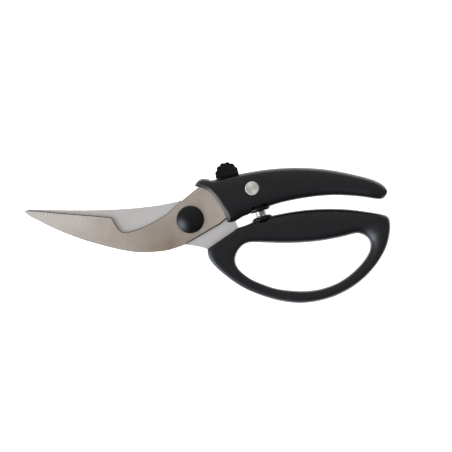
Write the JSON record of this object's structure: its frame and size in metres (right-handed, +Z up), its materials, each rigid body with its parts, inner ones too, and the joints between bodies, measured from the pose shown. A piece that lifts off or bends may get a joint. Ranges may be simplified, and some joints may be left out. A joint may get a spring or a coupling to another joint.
{
  "type": "poultry shears",
  "caption": "Spring-loaded poultry shears with a serrated front blade and bone notch, a horn handle with thumb latch and a closed finger-loop handle.",
  "frame": {"origin": "centre of the rear pivot cap's flat face, on the pivot axis, in the plane that the shears rest on", "axes": "+Z up along the pivot axis, out of the front blade's face; +X along the length towards the handles; +Y towards the horn handle's thumb latch"},
  "size_m": [0.2501, 0.0965, 0.016],
  "materials": {
    "front_steel": "satin, warm grey",
    "rear_steel": "satin, light grey",
    "handle_plastic": "fine moulded satin, black",
    "rivet_steel": "turned",
    "fastener_steel": "zinc plated",
    "bush_brass": "turned",
    "cap_plastic": "glossy, black",
    "spring_steel": "drawn wire",
    "button_plastic": "satin, black"
  },
  "bodies": {
    "front_half": {"front_blade": "front_steel", "horn_handle": "handle_plastic", "rivet_front": "rivet_steel", "rivet_back": "rivet_steel", "pivot_bolt": "fastener_steel", "pivot_bush": "bush_brass", "thrust_washer": "fastener_steel", "disc_spring": "spring_steel", "pivot_nut": "fastener_steel", "front_cap": "cap_plastic", "rear_cap": "cap_plastic", "stop_pin": "fastener_steel", "upper_cup": "cap_plastic", "latch_spring": "spring_steel"},
    "rear_half": {"rear_blade": "rear_steel", "loop_handle": "handle_plastic", "lower_cup": "cap_plastic", "opening_spring": "spring_steel"},
    "latch": {"latch_button": "button_plastic", "latch_plate": "fastener_steel", "latch_pin": "fastener_steel"}
  },
  "joints": [
    {"name": "opening", "type": "hinge", "parent": "front_half", "child": "rear_half", "pos_m": [0, 0, 0.008], "axis": [0, 0, -1], "range_deg": [0, 42], "stiffness_Nm_per_rad": 1, "springref_deg": 45.84, "deforming": ["opening_spring"]},
    {"name": "latch_slide", "type": "slide", "parent": "front_half", "child": "latch", "axis": [-0.9763, -0.2164, 0], "range_m": [0, 0.004]}
  ]
}
